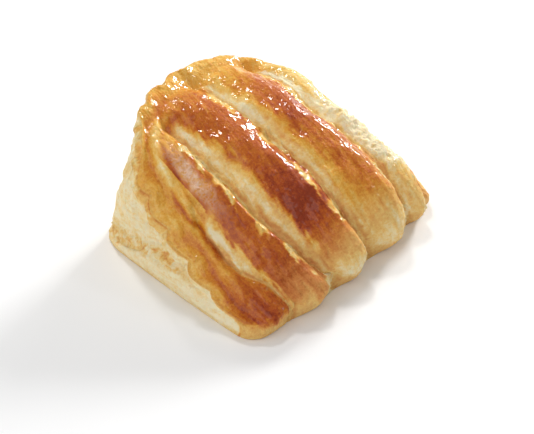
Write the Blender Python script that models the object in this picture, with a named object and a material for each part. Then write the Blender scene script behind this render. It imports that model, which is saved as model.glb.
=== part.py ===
"""A baked puff pastry turnover, one solid, in metres with +Z up.

The folded edge lies at the front (-Y) and the sealed edge stands at the back (+Y).
Straight slits run from the fold towards the back, so the top leaf has risen into ridges
that end in round lobes along the fold. The sealed edge carries a crimped rim, and below it
the cut sides stand as walls on the lower leaf.

The top leaf is worked out from lines that run over the pastry, from the rim at the back
over the crown to the fold and under it. Their shapes are named for seven places across:
the left side, the five slits and the right side, and blend smoothly between those.
All lengths are millimetres until the points become vertices.
"""

import math

import bmesh
import bpy
import numpy as np

MM = 0.001

# Shape of the lines: left side, five slits, right side.
FOLD_X = (-40.4, -28.0, -10.0, 5.0, 25.5, 33.4, 39.8)
FOLD_Y = (-30.3, -34.6, -37.8, -37.6, -37.0, -34.8, -32.0)
FOLD_Z = (6.0, 7.8, 9.5, 10.0, 9.0, 7.0, 5.0)
RIM_X = (-25.2, -20.8, -12.0, 4.0, 24.0, 30.5, 33.0)
RIM_Y = (23.0, 27.5, 32.3, 35.0, 31.0, 27.0, 23.0)
RIM_Z = (32.6, 36.3, 37.6, 37.0, 33.2, 30.0, 26.0)
ROUNDNESS = (0.9, 1.12, 1.35, 1.8, 1.9, 1.52, 1.15)
SLOPE_END = (0.9, 1.0, 1.0, 1.0, 1.0, 1.0, 0.97)
TUCK = (1.5, 3.5, 5.0, 5.0, 5.0, 4.0, 2.0)
BEND_ROUNDING = 8.0
CORNER_ROUNDING = 4.5
BOW_RUN = (0.0, 0.1, 0.2, 0.35, 0.55, 0.7, 0.85, 0.95, 1.0)
LEFT_BOW = (0.0, 5.6, 6.3, 5.4, 4.6, 3.8, 1.8, 0.4, 0.0)
RIGHT_BOW = (0.0, 2.6, 3.4, 2.4, 0.8, 0.2, 0.1, 0.0, 0.0)
SIDE_BOW_REACH = 0.55

# Slits, left to right: where each starts, its depth over the crown and its depth at the fold.
SLIT_START_Y = (-6.0, 22.0, 29.0, 24.5, 4.0)
SLIT_DEPTH = (2.6, 3.6, 3.6, 3.7, 2.5)
NOTCH_DEPTH = (2.5, 5.5, 5.5, 5.5, 3.0)
SLIT_FADE = 7.0
STEEP_SIDE = 1.8
GENTLE_SIDE = 1.6
LEAST_STEEP_REACH = 2.5
NOTCH_FROM_Y = -18.0
NOTCH_FULL_Y = -32.0

# How far each slit has drawn open to the left, along its line from the rim to the underside.
STATIONS = (0.0, 0.1, 0.2, 0.35, 0.5, 0.65, 0.8, 0.9, 1.0)
DRAWN = (
    (0.0, 0.0, 0.0, 3.5, 5.3, 5.6, 1.5, 0.4, 0.2),
    (2.0, 2.6, 3.5, 5.2, 6.8, 6.8, 4.5, 2.0, 0.8),
    (0.0, 0.4, 1.2, 1.6, 3.0, 4.3, 3.6, 1.8, 0.8),
    (0.4, 1.0, 1.6, 2.0, 2.2, 3.4, 3.4, 1.6, 0.8),
    (0.0, 0.0, 0.0, 0.3, 0.6, 0.9, 1.2, 0.8, 0.4),
)

# Unevenness of hand-made, risen dough.
SWAY = 0.35
SWELL = 0.35
DEPTH_VARIATION = 0.22

# Crimped rim.
CRIMP_PITCH = 10.3
CRIMP_FROM = -2.0
CRIMP_DEPTH = 2.4
CRIMP_REACH = 3.5
CRIMP_FAINTER = (88.0, 104.0)
FAINT_CRIMP = 0.35
PRESS_INSET = 5.4
PRESS_WIDTH = 2.2
PRESS_DEPTH = 1.0
RIM_STANDS = (2.0, 10.0)

# Walls under the rim: the lip of the top leaf, the pocket between, the lower leaf.
FOOT_LEFT = (-34.4, 30.8)
FOOT_RIGHT = (32.0, 29.0)
FOOT_BULGE = (0.7, 4.0, 1.0)
FOOT_BULGE_FULLNESS = 0.6
FOOT_ROUNDING = 8
WALL_TURN_ROUNDING = 24
WALL_BELLY = 1.7
WALL_SWELL = 0.9
LIP_DOWN = (0.0, 0.9, 3.2, 5.0)
LIP_OUT = (0.0, 0.1, -0.4, -1.3)
POCKET_OUT = (-2.2, -2.4)
LEAF_UP = (10.0, 9.1, 6.6, 2.6, 0.0)
LEAF_OUT = (-1.8, 1.0, 1.5, 0.9, 0.0)
LEAF_UNEVEN = 0.13
LEDGE_DIP = 0.72
LEDGE_DIP_WIDTH = 20.0
CORNER_FILLS = 0.8
LAYERED_FROM = (7.0, 16.0)
LAYERS_START = 10.0

# Mesh density.
STRIP_COLUMNS = (9, 12, 10, 13, 7, 6)
COLUMN_CROWDING = 0.08
LINE_ROWS = 42
CURVE_SAMPLES = 240

CRUST_COLOUR = (0.56, 0.26, 0.07, 1.0)
CRUST_ROUGHNESS = 0.45


def ease(low, high, value):
    """0 up to low, 1 from high on, smooth between."""
    share = np.clip((value - low) / (high - low), 0.0, 1.0)
    return share * share * (3.0 - 2.0 * share)


def bump(centre, width, value):
    """1 at the centre, falling smoothly to 0 over a width."""
    return np.exp(-(((value - centre) / width) ** 2))


def through(places, values, at):
    """A smooth curve through the values at their places, read at other places."""
    places = np.asarray(places, float)
    values = np.asarray(values, float)
    slopes = np.gradient(values, places)
    i = np.clip(np.searchsorted(places, at, side="right") - 1, 0, len(places) - 2)
    width = places[i + 1] - places[i]
    t = (at - places[i]) / width
    level = (1.0 + 2.0 * t) * (1.0 - t) ** 2 * values[i] + t * t * (3.0 - 2.0 * t) * values[i + 1]
    lean = t * (1.0 - t) ** 2 * slopes[i] - t * t * (1.0 - t) * slopes[i + 1]
    return level + width * lean


def uneven(a, b, seed):
    """A smooth irregular wave, about -1 to 1, over two distances."""
    total = 0.0
    for k, pitch in enumerate((47.0, 29.0, 17.0)):
        turn = seed + 2.4 * k
        phase = (a * math.cos(turn) + b * math.sin(turn)) / pitch
        total = total + np.sin(2.0 * math.pi * phase + 1.7 * turn)
    return total / 2.2


def run_length(points):
    """Distance along a line of points, from its first point."""
    steps = np.linalg.norm(np.diff(points, axis=0), axis=1)
    return np.concatenate([[0.0], np.cumsum(steps)])


def evenly(points, count):
    """The same line with count steps of equal length."""
    length = run_length(points)
    at = np.linspace(0.0, length[-1], count + 1)
    return np.stack([np.interp(at, length, points[:, k]) for k in range(points.shape[1])], axis=1)


def rounded(points, width):
    """The same line with its bends rounded over a width. Its ends stay."""
    step = np.linalg.norm(points[1] - points[0])
    reach = max(1, int(0.5 * width / step))
    index = np.arange(len(points))
    room = np.minimum(np.minimum(index, len(points) - 1 - index), reach)
    total = np.concatenate([np.zeros((1, 3)), np.cumsum(points, axis=0)])
    return (total[index + room + 1] - total[index - room]) / (2 * room + 1)[:, None]


def relaxed(values, rounds):
    """The same run of values, evened out. Its ends stay."""
    values = values.copy()
    for _ in range(rounds):
        values[1:-1] = 0.25 * values[:-2] + 0.5 * values[1:-1] + 0.25 * values[2:]
    return values


def corner_setback(distance):
    """How far the round corners of the fold stay back, at a distance from the side."""
    inside = max(0.0, 1.0 - distance / CORNER_ROUNDING)
    return CORNER_ROUNDING * (1.0 - math.sqrt(1.0 - inside * inside))


def slit_places():
    """Places of the sides and slits across the pastry, from 0 to 1."""
    fold = np.asarray(FOLD_X)
    return (fold - fold[0]) / (fold[-1] - fold[0])


def column_places(slits):
    """Places of the mesh columns, with a column on every slit and more of them beside it."""
    places = [np.zeros(1)]
    for left, right, count in zip(slits[:-1], slits[1:], STRIP_COLUMNS):
        share = np.arange(1, count + 1) / count
        crowded = share - COLUMN_CROWDING * np.sin(2.0 * math.pi * share)
        places.append(left + (right - left) * crowded)
    return np.concatenate(places)


def line_over(place, slits):
    """One line of points: from the rim over the crown, down to the fold and under it."""
    fold_x = through(slits, FOLD_X, place)
    fold_y = through(slits, FOLD_Y, place)
    fold_y += corner_setback(min(fold_x - FOLD_X[0], FOLD_X[-1] - fold_x))
    fold_z = through(slits, FOLD_Z, place)
    rim_x = through(slits, RIM_X, place)
    rim_y = through(slits, RIM_Y, place)
    rim_z = through(slits, RIM_Z, place)
    roundness = through(slits, ROUNDNESS, place)
    angle = np.linspace(0.0, 0.5 * math.pi, CURVE_SAMPLES)
    run = np.sin(angle) ** (2.0 / roundness)
    down = np.clip(1.0 - (run / through(slits, SLOPE_END, place)) ** roundness, 0.0, 1.0)
    bow = through(BOW_RUN, RIGHT_BOW, run) * max(0.0, 1.0 - (1.0 - place) / SIDE_BOW_REACH)
    bow -= through(BOW_RUN, LEFT_BOW, run) * max(0.0, 1.0 - place / SIDE_BOW_REACH)
    over_x = rim_x + (fold_x - rim_x) * run + bow
    over_y = rim_y + (fold_y - rim_y) * run
    over_z = fold_z + (rim_z - fold_z) * down ** (1.0 / roundness)
    under_y = fold_y + through(slits, TUCK, place) * (1.0 - np.cos(angle[1:]))
    under_z = fold_z * (1.0 - np.sin(angle[1:]))
    over = np.stack([over_x, over_y, over_z], axis=1)
    under = np.stack([np.full(len(under_y), fold_x), under_y, under_z], axis=1)
    line = evenly(np.concatenate([over, under]), CURVE_SAMPLES)
    return evenly(rounded(line, BEND_ROUNDING), LINE_ROWS)


def grid_normals(grid):
    """Outward unit normals of a grid of points."""
    normal = np.cross(np.gradient(grid, axis=1), np.gradient(grid, axis=0))
    return normal / np.maximum(np.linalg.norm(normal, axis=2, keepdims=True), 1e-9)


def drawn_open(grid, places, slits):
    """The same surface with its columns drawn to the left along the open slits."""
    share = np.linspace(0.0, 1.0, grid.shape[1])
    drawn = np.stack([through(STATIONS, row, share) for row in DRAWN])
    moved = grid.copy()
    for j in range(grid.shape[1]):
        row = grid[:, j]
        length = run_length(row)
        shift = np.interp(places, slits, [0.0, *drawn[:, j], 0.0])
        at = np.maximum(length - shift, 0.0)
        moved[:, j] = np.stack([np.interp(at, length, row[:, k]) for k in range(3)], axis=1)
    return moved


def distances(grid):
    """Distances over the leaf from its left side, its back and its right side."""
    across = np.linalg.norm(np.diff(grid, axis=0), axis=2)
    from_left = np.concatenate([np.zeros((1, grid.shape[1])), np.cumsum(across, axis=0)])
    along = np.linalg.norm(np.diff(grid, axis=1), axis=2)
    from_back = np.concatenate([np.zeros((len(grid), 1)), np.cumsum(along, axis=1)], axis=1)
    return from_left, from_back, from_left[-1:] - from_left


def slit_relief(grid, from_left):
    """How far the skin sinks towards the slits: steeply from the left, gently from the right."""
    relief = np.zeros(grid.shape[:2])
    y = grid[:, :, 1]
    lines = from_left[np.cumsum((0,) + STRIP_COLUMNS)]
    at_fold = ease(NOTCH_FROM_Y, NOTCH_FULL_Y, y)
    for k, (start, depth, notch) in enumerate(zip(SLIT_START_Y, SLIT_DEPTH, NOTCH_DEPTH)):
        offset = from_left - lines[k + 1]
        steep_reach = np.maximum(0.5 * (lines[k + 1] - lines[k]), LEAST_STEEP_REACH)
        gentle_reach = 0.5 * (lines[k + 2] - lines[k + 1])
        reach = np.where(offset < 0.0, steep_reach, gentle_reach)
        power = np.where(offset < 0.0, STEEP_SIDE, GENTLE_SIDE)
        valley = np.clip(1.0 - np.abs(offset) / reach, 0.0, 1.0) ** power
        opened = ease(-SLIT_FADE, 0.0, start - y)
        deep = depth + (notch - depth) * at_fold
        deep = deep * (1.0 + DEPTH_VARIATION * uneven(y, 12.0 * k, 0.4))
        relief += valley * opened * deep
    return relief


def crimp_wave(run):
    """0 in the notches between the rim's scallops, 1 in the middle of each."""
    return np.abs(np.sin(math.pi * (run - CRIMP_FROM) / CRIMP_PITCH))


def crimped(grid, distance_to, normal):
    """The grid with a line pressed inside the rim and the rim's edge in scallops."""
    standing = ease(*RIM_STANDS, grid[:, :, 2])
    inset = np.minimum.reduce(distance_to)
    pressed = PRESS_DEPTH * np.exp(-(((inset - PRESS_INSET) / PRESS_WIDTH) ** 2)) * standing
    moved = grid - normal * pressed[:, :, None]

    left_run = run_length(grid[0, ::-1])[::-1]
    back_run = left_run[0] + run_length(grid[:, 0])
    right_run = back_run[-1] + run_length(grid[-1])
    runs = (left_run[None, :], back_run[:, None], right_run[None, :])
    outs = (grid[:1] - grid[2:3], grid[:, :1] - grid[:, 2:3], grid[-1:] - grid[-3:-2])
    for distance, run, out in zip(distance_to, runs, outs):
        out = out / np.linalg.norm(out, axis=2, keepdims=True)
        faint = 1.0 - (1.0 - FAINT_CRIMP) * ease(*CRIMP_FAINTER, run)
        scallop = CRIMP_DEPTH * faint * (crimp_wave(run) - 0.4)
        share = np.exp(-((distance / CRIMP_REACH) ** 2) - (distance - inset)) * standing
        moved = moved + out * (scallop * share)[:, :, None]
    return moved


def top_leaf():
    """The grid of points of the top leaf: columns across, rows from the rim to the underside."""
    slits = slit_places()
    places = column_places(slits)
    grid = np.stack([line_over(place, slits) for place in places])
    grid = drawn_open(grid, places, slits)
    distance_to = distances(grid)
    x, y, z = np.moveaxis(grid.copy(), 2, 0)
    free = ease(0.0, 8.0, z)
    sunk = slit_relief(grid, distance_to[0]) - SWELL * uneven(x, y + 1.3 * z, 2.2) * free
    normal = grid_normals(grid)
    normal[:, :, 2] *= ease(0.0, 6.0, z)
    grid = crimped(grid, distance_to, normal) - normal * sunk[:, :, None]
    grid[:, :, 0] += SWAY * uneven(y, 0.6 * x, 4.1) * free
    grid[:, :, 2] = np.maximum(grid[:, :, 2], 0.0)
    grid[:, -1, 2] = 0.0
    return grid


def foot_line(rim, left_corner, right_corner):
    """The walls' outline on the ground, one point below each point of the rim."""
    corners = (rim[0, :2], np.asarray(FOOT_LEFT), np.asarray(FOOT_RIGHT), rim[-1, :2])
    turns = (0, left_corner, right_corner, len(rim) - 1)
    run = run_length(rim[:, :2])
    foot = np.zeros((len(rim), 2))
    ends = zip(turns[:-1], turns[1:], corners[:-1], corners[1:], FOOT_BULGE)
    for first, last, start, end, bulge in ends:
        share = (run[first : last + 1] - run[first]) / (run[last] - run[first])
        outward = np.array((start[1] - end[1], end[0] - start[0])) / math.dist(start, end)
        bulge = bulge * np.sin(math.pi * share) ** FOOT_BULGE_FULLNESS
        straight = start + (end - start) * share[:, None]
        foot[first : last + 1] = straight + outward * bulge[:, None]
    return relaxed(foot, FOOT_ROUNDING)


def walls(rim, left_corner, right_corner):
    """The grid of points of the walls: columns round the rim, rows from the rim to the foot."""
    foot = foot_line(rim, left_corner, right_corner)
    tangent = np.gradient(foot, axis=0)
    out = np.stack([-tangent[:, 1], tangent[:, 0]], axis=1)
    out = relaxed(out / np.linalg.norm(out, axis=1, keepdims=True), WALL_TURN_ROUNDING)
    height = rim[:, 2]
    room = np.minimum(1.0, height / (LIP_DOWN[-1] + LEAF_UP[0]))
    run = run_length(rim)
    started = ease(0.0, LAYERS_START, np.minimum(run, run[-1] - run))
    layered = ease(*LAYERED_FROM, height)
    ledge = 1.0 + LEAF_UNEVEN * uneven(rim[:, 0], rim[:, 1], 1.1)
    at_corner = bump(run[left_corner], LEDGE_DIP_WIDTH, run)
    ledge *= 1.0 - LEDGE_DIP * at_corner
    layered = layered * (1.0 - CORNER_FILLS * at_corner)

    lip = [height - down * room for down in LIP_DOWN]
    leaf = [up * room * ledge for up in LEAF_UP]
    shares = [(k + 1) / (len(POCKET_OUT) + 1) for k in range(len(POCKET_OUT))]
    pocket = [lip[-1] + (leaf[0] - lip[-1]) * share for share in shares]
    rows = []
    for z, step in zip(lip + pocket + leaf, LIP_OUT + POCKET_OUT + LEAF_OUT):
        share = (z / np.maximum(height, 1e-6)) ** WALL_BELLY
        swell = WALL_SWELL * uneven(rim[:, 0] + z, rim[:, 1] + z, 3.0) * share * (1.0 - share)
        offset = step * (room if step > 0.0 else layered) + 2.0 * room * swell
        plan = foot + (rim[:, :2] - foot) * share[:, None] + out * (started * offset)[:, None]
        rows.append(np.concatenate([plan, z[:, None]], axis=1))
    return np.stack(rows, axis=1)


def add_grid(mesh, grid):
    """Add a grid of points to the mesh as quads."""
    made = [[mesh.verts.new(point * MM) for point in column] for column in grid]
    for a, b in zip(made[:-1], made[1:]):
        for i in range(len(a) - 1):
            mesh.faces.new((a[i], a[i + 1], b[i + 1], b[i]))


def turnover_mesh():
    """The closed skin: top leaf, walls and a flat underside."""
    top = top_leaf()
    rim = np.concatenate([top[0, ::-1], top[1:, 0], top[-1, 1:]])
    left_corner = top.shape[1] - 1
    right_corner = left_corner + len(top) - 1
    sides = walls(rim, left_corner, right_corner)
    points = np.concatenate([top.reshape(-1, 3), sides.reshape(-1, 3)])
    middle = 0.5 * (points.min(axis=0) + points.max(axis=0)) * (1.0, 1.0, 0.0)
    mesh = bmesh.new()
    add_grid(mesh, top - middle)
    add_grid(mesh, sides - middle)
    bmesh.ops.remove_doubles(mesh, verts=mesh.verts[:], dist=0.02 * MM)
    bmesh.ops.holes_fill(mesh, edges=[edge for edge in mesh.edges if edge.is_boundary], sides=0)
    bmesh.ops.recalc_face_normals(mesh, faces=mesh.faces[:])
    bmesh.ops.triangulate(mesh, faces=mesh.faces[:])
    data = bpy.data.meshes.new("turnover")
    mesh.to_mesh(data)
    mesh.free()
    data.shade_smooth()
    return data


def crust_material():
    """Baked, egg-washed puff pastry."""
    material = bpy.data.materials.new("crust")
    material.use_nodes = True
    shader = material.node_tree.nodes["Principled BSDF"]
    shader.inputs["Base Color"].default_value = CRUST_COLOUR
    shader.inputs["Roughness"].default_value = CRUST_ROUGHNESS
    shader.inputs["Metallic"].default_value = 0.0
    return material


def build():
    for thing in list(bpy.data.objects):
        bpy.data.objects.remove(thing, do_unlink=True)
    pastry = bpy.data.objects.new("turnover", turnover_mesh())
    pastry.data.materials.append(crust_material())
    bpy.context.scene.collection.objects.link(pastry)


build()
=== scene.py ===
"""The looks of the baked puff pastry turnover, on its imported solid.

The pastry is worked out again from the same named sizes as its solid, on a finer grid, and
then gets what the solid is too coarse for: the ragged cut edge beside each slit, the pale
flaky dough that shows in the slits, blisters and wrinkles of the egg-washed skin, the crimped
rim and the layers of the cut sides. How far each spot is baked is worked out with the shape
and kept on the mesh, and the material turns it into colour and gloss.
All lengths are millimetres until the points become vertices.
"""

import itertools
import math

import bmesh
import bpy
import numpy as np
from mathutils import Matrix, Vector


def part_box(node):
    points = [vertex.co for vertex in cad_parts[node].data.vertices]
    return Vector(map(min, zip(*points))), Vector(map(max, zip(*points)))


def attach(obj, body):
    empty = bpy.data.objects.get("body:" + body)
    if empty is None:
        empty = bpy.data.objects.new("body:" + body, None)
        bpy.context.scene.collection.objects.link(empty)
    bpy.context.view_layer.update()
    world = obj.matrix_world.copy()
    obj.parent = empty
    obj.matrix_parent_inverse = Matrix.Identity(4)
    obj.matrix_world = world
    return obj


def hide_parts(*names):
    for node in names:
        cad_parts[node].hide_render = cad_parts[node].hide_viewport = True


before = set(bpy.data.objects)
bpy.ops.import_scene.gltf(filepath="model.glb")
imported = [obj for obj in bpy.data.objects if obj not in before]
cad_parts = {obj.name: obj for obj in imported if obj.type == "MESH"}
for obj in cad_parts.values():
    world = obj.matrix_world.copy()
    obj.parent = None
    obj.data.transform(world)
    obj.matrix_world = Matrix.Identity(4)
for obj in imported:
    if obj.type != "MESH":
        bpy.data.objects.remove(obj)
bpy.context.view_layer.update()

MM = 0.001

# Shape of the lines over the pastry: left side, five slits, right side.
FOLD_X = (-40.4, -28.0, -10.0, 5.0, 25.5, 33.4, 39.8)
FOLD_Y = (-30.3, -34.6, -37.8, -37.6, -37.0, -34.8, -32.0)
FOLD_Z = (6.0, 7.8, 9.5, 10.0, 9.0, 7.0, 5.0)
RIM_X = (-25.2, -20.8, -12.0, 4.0, 24.0, 30.5, 33.0)
RIM_Y = (23.0, 27.5, 32.3, 35.0, 31.0, 27.0, 23.0)
RIM_Z = (32.6, 36.3, 37.6, 37.0, 33.2, 30.0, 26.0)
ROUNDNESS = (0.9, 1.12, 1.35, 1.8, 1.9, 1.52, 1.15)
SLOPE_END = (0.9, 1.0, 1.0, 1.0, 1.0, 1.0, 0.97)
TUCK = (1.5, 3.5, 5.0, 5.0, 5.0, 4.0, 2.0)
BEND_ROUNDING = 8.0
CORNER_ROUNDING = 4.5
BOW_RUN = (0.0, 0.1, 0.2, 0.35, 0.55, 0.7, 0.85, 0.95, 1.0)
LEFT_BOW = (0.0, 5.6, 6.3, 5.4, 4.6, 3.8, 1.8, 0.4, 0.0)
RIGHT_BOW = (0.0, 2.6, 3.4, 2.4, 0.8, 0.2, 0.1, 0.0, 0.0)
SIDE_BOW_REACH = 0.55

# Slits, left to right. The first one's dough shows from a little above the solid's slit.
SLIT_START_Y = (-2.5, 22.0, 29.0, 24.5, 4.0)
SLIT_DEPTH = (2.6, 3.6, 3.6, 3.7, 2.5)
NOTCH_DEPTH = (2.5, 5.5, 5.5, 5.5, 3.0)
FIRST_SLIT, SECOND_SLIT, FOURTH_SLIT, FIFTH_SLIT = 1, 2, 4, 5
SLIT_FADE = 7.0
NOTCH_FROM_Y = -18.0
NOTCH_FULL_Y = -32.0
STEEP_SIDE = 1.8
GENTLE_SIDE = 1.6
LEAST_REACH = 2.5

# Unevenness of hand-made, risen dough: how far it goes, and the numbers that fix the waves.
SWAY = 0.35
SWAY_WAVE = 4.1
SWAY_LEAN = 0.6
SWELL = 0.35
SWELL_WAVE = 2.2
SWELL_LEAN = 1.3
DEPTH_VARIATION = 0.22
DEPTH_WAVE = 0.4
DEPTH_WAVE_STEP = 12.0
WAVE_PITCHES = (47.0, 29.0, 17.0)
WAVE_TURN = 2.4
WAVE_SHIFT = 1.7
WAVE_SCALE = 2.2

# Crimped rim.
CRIMP_PITCH = 10.3
CRIMP_FROM = -2.0
CRIMP_DEPTH = 2.4
CRIMP_MEAN = 0.4
CRIMP_REACH = 3.5
CRIMP_FAINTER = (88.0, 104.0)
FAINT_CRIMP = 0.35
POCKET_DEPTH = 0.45
POCKET_PLACE = (3.6, 1.7)
PRESS_PLACE = (5.4, 1.9)
PRESS_DEPTH = 1.0
RIB_PLACE = (8.2, 1.2)
RIB_HEIGHT = 0.45
RIB_TO = (0.24, 0.32)
CORNER_SOFTNESS = 2.6
RIM_STANDS = (2.0, 10.0)
RIM_STEPS = 6
LEFT_SIDE = (16.0, 26.0)

# Walls under the rim: the lip of the top leaf, the pocket between, the lower leaf.
FOOT_LEFT = (-34.4, 30.8)
FOOT_RIGHT = (32.0, 29.0)
FOOT_BULGE = (0.7, 4.0, 1.0)
FOOT_BULGE_FULLNESS = 0.6
FOOT_ROUNDING = 12.0
WALL_TURN_ROUNDING = 20.0
WALL_BELLY = 1.7
WALL_SWELL = 0.9
WALL_WAVE = 3.0
WALL_ROUNDING = 1.6
LIP_DOWN = (0.0, 0.9, 3.2, 5.0)
LIP_OUT = (0.0, 0.1, -0.4, -1.3)
POCKET_OUT = (-2.2, -2.4)
LEAF_UP = (10.0, 9.1, 6.6, 2.6, 0.0)
LEAF_OUT = (-1.8, 1.0, 1.5, 0.9, 0.0)
LEAF_UNEVEN = 0.13
LEAF_WAVE = 1.1
LEDGE_DIP = 0.72
LEDGE_DIP_WIDTH = 20.0
CORNER_FILLS = 0.8
LAYERED_FROM = (7.0, 16.0)
LAYERS_START = 10.0

# Fine grid.
STRIP_COLUMNS = (40, 52, 44, 60, 30, 24)
LINE_ROWS = 248
WALL_ROWS = 44
CURVE_SAMPLES = 900
WALL_SAMPLES = 200
MERGED_WITHIN = 0.004

# Irregular patterns: strength, size of the lumps (or sizes across, along and up), the number
# that fixes the pattern, counted on from slit to slit, and how many sizes of lumps it has.
PATTERNS = {
    "edge wander": (0.55, (9.0, 6.5, 1.0), 40, 2),
    "fine edge wander": (0.16, (2.0, 1.4, 1.0), 50, 3),
    "cream roll wander": (0.55, (4.0, 6.0, 1.0), 60, 2),
    "cream roll gaps": (1.0, (3.0, 7.0, 1.0), 70, 2),
    "edge crinkle": (0.26, (0.8, 1.0, 1.0), 75, 3),
    "lip gaps": (1.0, (3.0, 5.0, 1.0), 77, 3),
    "lip edge": (0.7, (1.2, 1.6, 1.0), 78, 3),
    "lip crinkle": (0.3, (0.8, 1.0, 1.0), 79, 2),
    "band edge": (0.4, (1.5, 1.2, 1.0), 80, 2),
    "band streaks": (0.14, (1.6, 4.5, 1.0), 95, 3),
    "lumps": (0.30, 7.0, 1, 2),
    "small lumps": (0.12, 2.6, 2, 2),
    "wrinkles": (0.11, (1.1, 5.0, 1.0), 3, 3),
    "blisters": (1.0, 1.5, 4, 2),
    "thin layers": (0.16, (0.9, 7.0, 1.0), 5, 3),
    "layer grain": (0.05, 0.9, 6, 2),
    "flakes": (1.0, (2.0, 2.4, 2.0), 7, 3),
    "flake grain": (0.2, 0.9, 8, 2),
    "rim grain": (0.13, 0.9, 9, 2),
    "lobe folds": (1.0, (2.3, 14.0, 1.0), 10, 2),
    "mottle": (1.0, 1.6, 21, 3),
    "streaks": (0.05, (1.0, 8.0, 1.0), 22, 3),
    "patches": (0.05, 8.0, 23, 2),
    "grain": (1.0, 0.8, 24, 2),
    "fibres": (1.1, (1.1, 5.0, 1.0), 25, 3),
    "crease wander": (0.5, (5.0, 5.0, 1.0), 90, 2),
    "painted sheen patch edge": (0.6, (2.5, 2.5, 1.0), 91, 3),
    "pleats": (1.0, (9.0, 3.4, 1.0), 31, 2),
    "wall layers": (0.20, (0.8, 9.0, 1.0), 32, 3),
    "wall lumps": (0.40, 4.5, 33, 2),
    "wall crumbs": (0.55, 1.2, 34, 3),
    "wall mottle": (0.04, 3.0, 35, 3),
    "wall streaks": (0.05, (0.7, 7.0, 1.0), 36, 3),
    "brown crumbs": (1.0, 1.3, 37, 3),
    "ledge wander": (0.3, (9.0, 2.5, 1.0), 38, 2),
    "ledge line wander": (0.5, (9.0, 3.0, 1.0), 39, 2),
    "ledge line gaps": (1.0, 1.6, 41, 3),
    "corner patches": (1.0, 3.5, 42, 2),
    "rolled edge wander": (0.3, 4.0, 43, 2),
    "rolled edge gaps": (1.0, 2.2, 44, 3),
}
LATTICE = 64
OCTAVE_SHIFT = 11.3
OCTAVE_FADE = 0.6
CLOUD_SCALE = 2.2

# Along each line, from 0 at the rim to 1 under the fold.
STATIONS = np.array((0.0, 0.1, 0.2, 0.35, 0.5, 0.65, 0.8, 0.9, 1.0))
# The cut edge left of each slit and the soft edge right of it, from the slit's line.
CUT_EDGE = (
    (0.0, 0.0, 0.0, -3.5, -5.3, -5.6, -1.5, -0.4, -0.2),
    (-2.0, -2.6, -3.5, -5.2, -6.8, -6.8, -4.5, -2.0, -0.8),
    (0.0, -0.4, -1.2, -1.6, -3.0, -4.3, -3.6, -1.8, -0.8),
    (-0.4, -1.0, -1.6, -2.0, -2.2, -3.4, -3.4, -1.6, -0.8),
    (0.0, 0.0, 0.0, -0.3, -0.6, -0.9, -1.2, -0.8, -0.4),
)
SOFT_EDGE = (
    (0.2, 0.2, 0.2, -0.2, -1.6, -1.6, -0.8, 0.1, 0.2),
    (1.2, 0.8, 0.4, 0.0, -0.7, -1.5, -1.6, -0.4, 0.2),
    (2.6, 2.8, 2.6, 2.6, 1.2, -0.4, -0.4, 0.2, 0.4),
    (0.6, 0.8, 1.2, 1.8, 1.8, 1.2, 0.6, 0.4, 0.4),
    (0.8, 1.0, 1.2, 1.4, 1.6, 1.4, 0.9, 0.5, 0.4),
)
OPENING = 5.0
BAND_AHEAD = 1.5

# Relief beside the cut edges: the skin's step, the cream roll, the valley and the torn lip.
# A place is where the relief is strongest and how wide it is.
EDGE_HEIGHT = 0.8
EDGE_GROWTH = 9.0
EDGE_STEP = (-0.1, 0.35)
EDGE_FADE = 2.6
ROLL_PLACE = (0.95, 0.45)
ROLL_HEIGHT = 0.55
ROLL_THERE = (-0.45, 0.35)
LEAST_ROLL = 0.2
VALLEY_PLACE = (2.0, 0.9)
VALLEY_DEPTH = 0.4
LEAST_VALLEY = 0.4
CRINKLE_PLACE = (-0.7, 1.1)
LIP_WIDTH = 3.3
LIP_SOFTNESS = 0.4
LIP_THERE = (-0.75, 0.15)
LIP_END = (0.0, 0.6)
BARE_FROM_CUT = (-0.1, 0.25)
BARE_TO_SOFT = (-0.4, 0.5)

# Relief of the skin, the crumbly strip, the lobes and the crease.
FOOT_STAYS = (0.0, 5.0)
NORMAL_LEVELS = (0.0, 6.0)
SWAY_FREE = (0.0, 8.0)
CLEAR_OF_RIM = (0.5, 4.0)
WRINKLES_FROM = (2.0, 9.0)
RIM_GRAIN_INSET = (1.5, 4.0)
BLISTER_HEIGHT = 0.20
BLISTERS_FROM = (0.45, 1.1)
FLAKE_HEIGHT = 0.6
FLAKE_STEPS = 2.5
FLAKE_EDGE = (0.55, 1.0)
CRUMBLY_LEFT = (-1.5, 1.5)
CRUMBLY_RIGHT = (-1.0, 1.5)
CRUMBLY_FROM = (0.28, 0.42)
CRUMBLY_TO = (0.62, 0.74)
LOBES_FROM = (0.66, 0.8)
LOBES_TO = (0.93, 1.0)
LOBE_FOLD_DEPTH = 0.34
CREASE_INSET = 6.0
CREASE_SPREAD = 4.0
CREASE_WIDTH = 0.75
CREASE_DEPTH = 0.7
CREASE_FROM = (0.26, 0.34)
CREASE_TO = (0.56, 0.66)

# Relief of the walls.
TALL_WALL = (8.0, 20.0)
RIM_STAYS = (0.0, 2.0)
GROUND_STAYS = (0.0, 1.5)
ENDS_STAY = (0.0, 8.0)
LEDGE_BLEND = (-1.0, 1.0)
PLEAT_STRETCH = 0.3
FLUTE_RISE = 0.2
FLUTE_DEPTH = 0.8
FLUTES_PLACE = (5.0, 7.0)
CRUMBS_UP = 2.6
CRUMBS_REACH = 2.6
LEDGE_ROLL = 0.75
LEDGE_ROLL_WIDTH = 0.9
UNDERCUT = 0.9
UNDERCUT_PLACE = (2.1, 1.2)
LOW_WALL_LAYERS = 0.4
LOW_WALL_LUMPS = 0.3

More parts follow.
